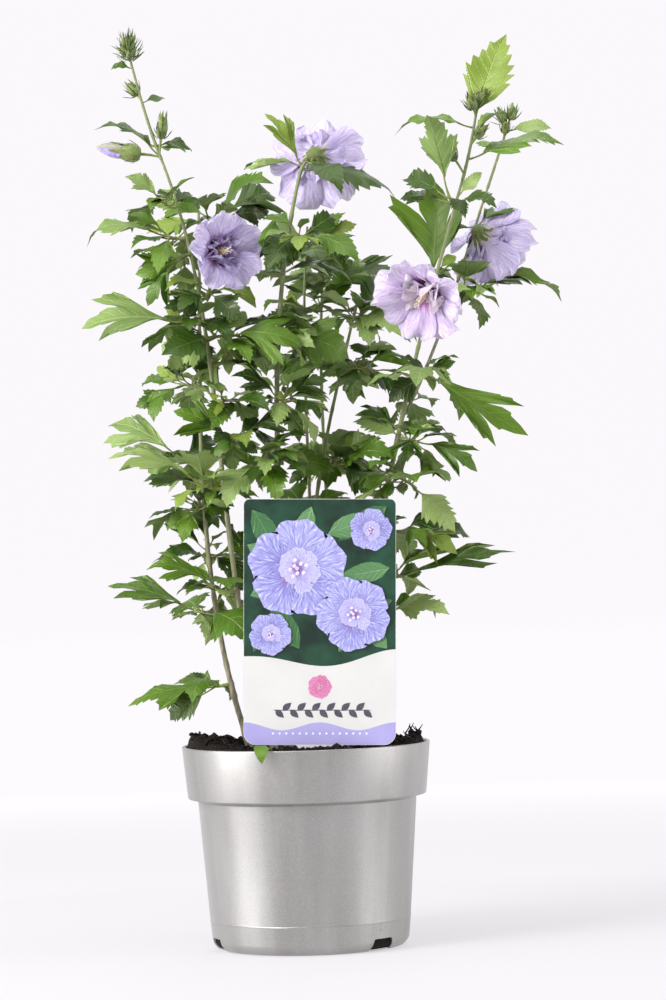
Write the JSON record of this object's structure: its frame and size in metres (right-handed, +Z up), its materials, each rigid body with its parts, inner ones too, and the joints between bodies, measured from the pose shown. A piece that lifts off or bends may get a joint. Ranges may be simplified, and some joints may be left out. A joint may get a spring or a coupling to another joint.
{
  "type": "potted rose of sharon shrub",
  "caption": "Young rose of sharon shrub in bloom, with slender leafy stems and lavender flowers, in a round silver-grey nursery pot with a plain plant label.",
  "frame": {"origin": "middle of the pot's flat underside", "axes": "+Z up; the label's printed side faces -Y; +X to the right as seen from the label's side"},
  "size_m": [0.3829, 0.2561, 0.701],
  "materials": {
    "pot": "satin silver-grey",
    "compost": "matte crumbly",
    "label": "semi-gloss printed card",
    "bark": "matte",
    "leaf": "matte",
    "bloom": "matte",
    "bud": "matte"
  },
  "bodies": {
    "root": {"pot": "pot", "compost": "compost", "plant_label": "label", "stem_left_outer": "bark", "stem_left_tall": "bark", "stem_centre_left": "bark", "stem_centre": "bark", "stem_back": "bark", "stem_centre_right": "bark", "stem_right": "bark", "stem_right_outer": "bark", "bud_spray_left": "bud", "bud_spray_right": "bud", "bud_spray_outer": "bud", "bloom_top": "bloom", "bloom_left": "bloom", "bloom_centre": "bloom", "bloom_right": "bloom", "foliage_left_tall_1": "leaf", "foliage_left_tall_2": "leaf", "foliage_left_tall_3": "leaf", "foliage_left_tall_4": "leaf", "foliage_left_tall_5": "leaf", "foliage_left_tall_6": "leaf", "foliage_left_tall_7": "leaf", "foliage_left_tall_8": "leaf", "foliage_left_tall_9": "leaf", "foliage_left_tall_10": "leaf", "foliage_left_tall_11": "leaf", "foliage_left_outer_1": "leaf", "foliage_left_outer_2": "leaf", "foliage_left_outer_3": "leaf", "foliage_left_outer_4": "leaf", "foliage_left_outer_5": "leaf", "foliage_left_outer_6": "leaf", "foliage_left_outer_7": "leaf", "foliage_left_outer_8": "leaf", "foliage_centre_left_1": "leaf", "foliage_centre_left_2": "leaf", "foliage_centre_left_3": "leaf", "foliage_centre_left_4": "leaf", "foliage_centre_1": "leaf", "foliage_centre_2": "leaf", "foliage_centre_3": "leaf", "foliage_back_1": "leaf", "foliage_back_2": "leaf", "foliage_back_3": "leaf", "foliage_centre_right_1": "leaf", "foliage_centre_right_2": "leaf", "foliage_centre_right_3": "leaf", "foliage_right_1": "leaf", "foliage_right_2": "leaf", "foliage_right_3": "leaf", "foliage_right_4": "leaf", "foliage_right_5": "leaf", "foliage_right_6": "leaf", "foliage_right_7": "leaf", "foliage_right_8": "leaf", "foliage_right_9": "leaf", "foliage_right_outer_1": "leaf"}
  },
  "joints": []
}
